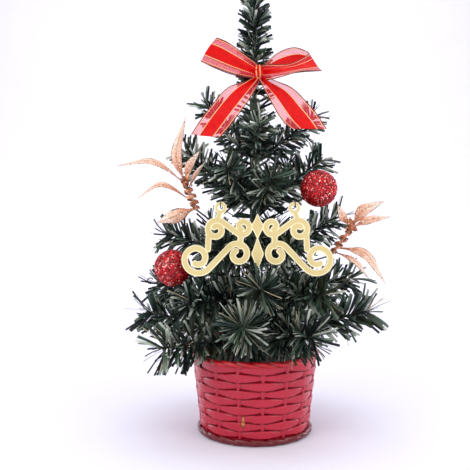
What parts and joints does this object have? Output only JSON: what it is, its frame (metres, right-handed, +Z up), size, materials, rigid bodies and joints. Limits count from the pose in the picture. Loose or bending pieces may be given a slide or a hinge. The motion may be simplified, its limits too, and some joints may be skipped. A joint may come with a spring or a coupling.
{
  "type": "artificial tabletop tree",
  "caption": "Small artificial tree in a woven-look red pot, with bendable needle branches, ribbon bow, glitter balls, leaf sprays and a hanging scroll plaque.",
  "frame": {"origin": "middle of the pot's flat underside", "axes": "+Z up along the trunk, -Y towards the front, +X to the right as seen from the front"},
  "size_m": [0.1447, 0.1253, 0.243],
  "materials": {
    "needles": "matte green plastic strips, darker inside",
    "wire": "dark green lacquered wire",
    "tape": "dark green floral tape",
    "pot": "glossy red moulded plastic with a basket weave",
    "cement": "rough pale grey cement",
    "ribbon": "red satin stripe between sheer bands, gold threads",
    "glitter": "red glitter",
    "plaque": "pale gold metallised plastic",
    "leaf": "rose gold glitter fading to cream"
  },
  "bodies": {
    "tree": {"bow_knot": "ribbon", "bow_loop_left": "ribbon", "bow_loop_right": "ribbon", "bow_tail_left": "ribbon", "bow_tail_right": "ribbon", "bow_tie_wire": "wire", "cement_plug": "cement", "leader_needles": "needles", "plaque_tie_left": "wire", "plaque_tie_right": "wire", "pot_shell": "pot", "trunk_wire": "wire", "trunk_wrap": "tape"},
    "plaque": {"plaque": "plaque"},
    "ball_left": {"ball_left": "glitter", "ball_left_pick": "wire"},
    "ball_right": {"ball_right": "glitter", "ball_right_pick": "wire"},
    "spray_left": {"spray_left_wire": "wire", "spray_left_leaves": "leaf"},
    "spray_right": {"spray_right_wire": "wire", "spray_right_leaves": "leaf"},
    "bottom_branch_left": {"bottom_branch_left": "needles"},
    "bottom_branch_front_left": {"bottom_branch_front_left": "needles"},
    "bottom_branch_front": {"bottom_branch_front": "needles"},
    "bottom_branch_front_right": {"bottom_branch_front_right": "needles"},
    "bottom_branch_right": {"bottom_branch_right": "needles"},
    "bottom_branch_back_right": {"bottom_branch_back_right": "needles"},
    "bottom_branch_back": {"bottom_branch_back": "needles"},
    "bottom_branch_back_left": {"bottom_branch_back_left": "needles"},
    "lower_branch_left": {"lower_branch_left": "needles"},
    "lower_branch_front_left": {"lower_branch_front_left": "needles"},
    "lower_branch_front": {"lower_branch_front": "needles"},
    "lower_branch_front_right": {"lower_branch_front_right": "needles"},
    "lower_branch_right": {"lower_branch_right": "needles"},
    "lower_branch_back_right": {"lower_branch_back_right": "needles"},
    "lower_branch_back_left": {"lower_branch_back_left": "needles"},
    "middle_branch_left": {"middle_branch_left": "needles"},
    "middle_branch_front_left": {"middle_branch_front_left": "needles"},
    "middle_branch_front_right": {"middle_branch_front_right": "needles"},
    "middle_branch_right": {"middle_branch_right": "needles"},
    "middle_branch_back_right": {"middle_branch_back_right": "needles"},
    "middle_branch_back_left": {"middle_branch_back_left": "needles"},
    "upper_branch_left": {"upper_branch_left": "needles"},
    "upper_branch_front_left": {"upper_branch_front_left": "needles"},
    "upper_branch_front": {"upper_branch_front": "needles"},
    "upper_branch_right": {"upper_branch_right": "needles"},
    "upper_branch_back_right": {"upper_branch_back_right": "needles"},
    "upper_branch_back_left": {"upper_branch_back_left": "needles"},
    "top_branch_left": {"top_branch_left": "needles"},
    "top_branch_front": {"top_branch_front": "needles"},
    "top_branch_right": {"top_branch_right": "needles"},
    "top_branch_back": {"top_branch_back": "needles"}
  },
  "joints": [
    {"name": "plaque_swing", "type": "hinge", "parent": "tree", "child": "plaque", "pos_m": [0, -0.044, 0.1212], "axis": [-1, 0, 0], "range_deg": [-5, 40]},
    {"name": "ball_left_bend", "type": "hinge", "parent": "tree", "child": "ball_left", "pos_m": [-0.00364, -0.0021, 0.084], "axis": [-0.5, 0.866, 0], "range_deg": [-7, 16]},
    {"name": "ball_right_bend", "type": "hinge", "parent": "tree", "child": "ball_right", "pos_m": [0.00331, -0.00259, 0.114], "axis": [-0.6157, -0.788, 0], "range_deg": [-12, 20]},
    {"name": "spray_left_bend", "type": "hinge", "parent": "tree", "child": "spray_left", "pos_m": [-0.00364, -0.0021, 0.109], "axis": [-0.5, 0.866, 0], "range_deg": [-12, 18]},
    {"name": "spray_right_bend", "type": "hinge", "parent": "tree", "child": "spray_right", "pos_m": [0.00389, -0.00157, 0.088], "axis": [-0.3746, -0.9272, 0], "range_deg": [-12, 5]},
    {"name": "bottom_branch_left_bend", "type": "hinge", "parent": "tree", "child": "bottom_branch_left", "pos_m": [-0.0042, 0.00015, 0.052], "axis": [0.0349, 0.9994, 0], "range_deg": [-12, 7]},
    {"name": "bottom_branch_front_left_bend", "type": "hinge", "parent": "tree", "child": "bottom_branch_front_left", "pos_m": [-0.00322, -0.0027, 0.052], "axis": [-0.6428, 0.766, 0], "range_deg": [-3, 15]},
    {"name": "bottom_branch_front_bend", "type": "hinge", "parent": "tree", "child": "bottom_branch_front", "pos_m": [-0.00058, -0.00416, 0.052], "axis": [-0.9903, 0.1392, 0], "range_deg": [-12, 10]},
    {"name": "bottom_branch_front_right_bend", "type": "hinge", "parent": "tree", "child": "bottom_branch_front_right", "pos_m": [0.00204, -0.00367, 0.052], "axis": [-0.8746, -0.4848, 0], "range_deg": [-10, 14]},
    {"name": "bottom_branch_right_bend", "type": "hinge", "parent": "tree", "child": "bottom_branch_right", "pos_m": [0.0042, -0.00015, 0.052], "axis": [-0.0349, -0.9994, 0], "range_deg": [-12, 10]},
    {"name": "bottom_branch_back_right_bend", "type": "hinge", "parent": "tree", "child": "bottom_branch_back_right", "pos_m": [0.00307, 0.00286, 0.052], "axis": [0.682, -0.7314, 0], "range_deg": [-11, 21]},
    {"name": "bottom_branch_back_bend", "type": "hinge", "parent": "tree", "child": "bottom_branch_back", "pos_m": [0.00007, 0.0042, 0.052], "axis": [0.9998, -0.0175, 0], "range_deg": [-12, 25]},
    {"name": "bottom_branch_back_left_bend", "type": "hinge", "parent": "tree", "child": "bottom_branch_back_left", "pos_m": [-0.00297, 0.00297, 0.052], "axis": [0.7071, 0.7071, 0], "range_deg": [-11, 21]},
    {"name": "lower_branch_left_bend", "type": "hinge", "parent": "tree", "child": "lower_branch_left", "pos_m": [-0.00416, 0.00058, 0.072], "axis": [0.1392, 0.9903, 0], "range_deg": [-8, 23]},
    {"name": "lower_branch_front_left_bend", "type": "hinge", "parent": "tree", "child": "lower_branch_front_left", "pos_m": [-0.00335, -0.00253, 0.072], "axis": [-0.6018, 0.7986, 0], "range_deg": [-12, 10]},
    {"name": "lower_branch_front_bend", "type": "hinge", "parent": "tree", "child": "lower_branch_front", "pos_m": [0.00015, -0.0042, 0.072], "axis": [-0.9994, -0.0349, 0], "range_deg": [-12, 5]},
    {"name": "lower_branch_front_right_bend", "type": "hinge", "parent": "tree", "child": "lower_branch_front_right", "pos_m": [0.00276, -0.00317, 0.072], "axis": [-0.7547, -0.6561, 0], "range_deg": [-12, 22]},
    {"name": "lower_branch_right_bend", "type": "hinge", "parent": "tree", "child": "lower_branch_right", "pos_m": [0.00416, 0.00058, 0.072], "axis": [0.1392, -0.9903, 0], "range_deg": [-12, 25]},
    {"name": "lower_branch_back_right_bend", "type": "hinge", "parent": "tree", "child": "lower_branch_back_right", "pos_m": [0.00223, 0.00356, 0.072], "axis": [0.848, -0.5299, 0], "range_deg": [-12, 25]},
    {"name": "lower_branch_back_left_bend", "type": "hinge", "parent": "tree", "child": "lower_branch_back_left", "pos_m": [-0.0021, 0.00364, 0.072], "axis": [0.866, 0.5, 0], "range_deg": [-12, 23]},
    {"name": "middle_branch_left_bend", "type": "hinge", "parent": "tree", "child": "middle_branch_left", "pos_m": [-0.0042, 0, 0.095], "axis": [0, 1, 0], "range_deg": [-12, 25]},
    {"name": "middle_branch_front_left_bend", "type": "hinge", "parent": "tree", "child": "middle_branch_front_left", "pos_m": [-0.0021, -0.00364, 0.095], "axis": [-0.866, 0.5, 0], "range_deg": [-12, 23]},
    {"name": "middle_branch_front_right_bend", "type": "hinge", "parent": "tree", "child": "middle_branch_front_right", "pos_m": [0.0021, -0.00364, 0.095], "axis": [-0.866, -0.5, 0], "range_deg": [-12, 23]},
    {"name": "middle_branch_right_bend", "type": "hinge", "parent": "tree", "child": "middle_branch_right", "pos_m": [0.00411, 0.00087, 0.095], "axis": [0.2079, -0.9781, 0], "range_deg": [-12, 25]},
    {"name": "middle_branch_back_right_bend", "type": "hinge", "parent": "tree", "child": "middle_branch_back_right", "pos_m": [0.00144, 0.00395, 0.095], "axis": [0.9397, -0.342, 0], "range_deg": [-12, 25]},
    {"name": "middle_branch_back_left_bend", "type": "hinge", "parent": "tree", "child": "middle_branch_back_left", "pos_m": [-0.00247, 0.0034, 0.095], "axis": [0.809, 0.5878, 0], "range_deg": [-12, 25]},
    {"name": "upper_branch_left_bend", "type": "hinge", "parent": "tree", "child": "upper_branch_left", "pos_m": [-0.00416, 0.00058, 0.124], "axis": [0.1392, 0.9903, 0], "range_deg": [-12, 24]},
    {"name": "upper_branch_front_left_bend", "type": "hinge", "parent": "tree", "child": "upper_branch_front_left", "pos_m": [-0.0021, -0.00364, 0.124], "axis": [-0.866, 0.5, 0], "range_deg": [-12, 25]},
    {"name": "upper_branch_front_bend", "type": "hinge", "parent": "tree", "child": "upper_branch_front", "pos_m": [0.00102, -0.00408, 0.124], "axis": [-0.9703, -0.2419, 0], "range_deg": [-12, 25]},
    {"name": "upper_branch_right_bend", "type": "hinge", "parent": "tree", "child": "upper_branch_right", "pos_m": [0.00419, -0.00029, 0.124], "axis": [-0.0698, -0.9976, 0], "range_deg": [-12, 25]},
    {"name": "upper_branch_back_right_bend", "type": "hinge", "parent": "tree", "child": "upper_branch_back_right", "pos_m": [0.00259, 0.00331, 0.124], "axis": [0.788, -0.6157, 0], "range_deg": [-12, 25]},
    {"name": "upper_branch_back_left_bend", "type": "hinge", "parent": "tree", "child": "upper_branch_back_left", "pos_m": [-0.00144, 0.00395, 0.124], "axis": [0.9397, 0.342, 0], "range_deg": [-12, 25]},
    {"name": "top_branch_left_bend", "type": "hinge", "parent": "tree", "child": "top_branch_left", "pos_m": [-0.00356, 0.00223, 0.151], "axis": [0.5299, 0.848, 0], "range_deg": [-12, 25]},
    {"name": "top_branch_front_bend", "type": "hinge", "parent": "tree", "child": "top_branch_front", "pos_m": [0.00029, -0.00419, 0.151], "axis": [-0.9976, -0.0698, 0], "range_deg": [-12, 25]},
    {"name": "top_branch_right_bend", "type": "hinge", "parent": "tree", "child": "top_branch_right", "pos_m": [0.00389, 0.00157, 0.151], "axis": [0.3746, -0.9272, 0], "range_deg": [-12, 25]},
    {"name": "top_branch_back_bend", "type": "hinge", "parent": "tree", "child": "top_branch_back", "pos_m": [0.00015, 0.0042, 0.151], "axis": [0.9994, -0.0349, 0], "range_deg": [-12, 25]}
  ]
}
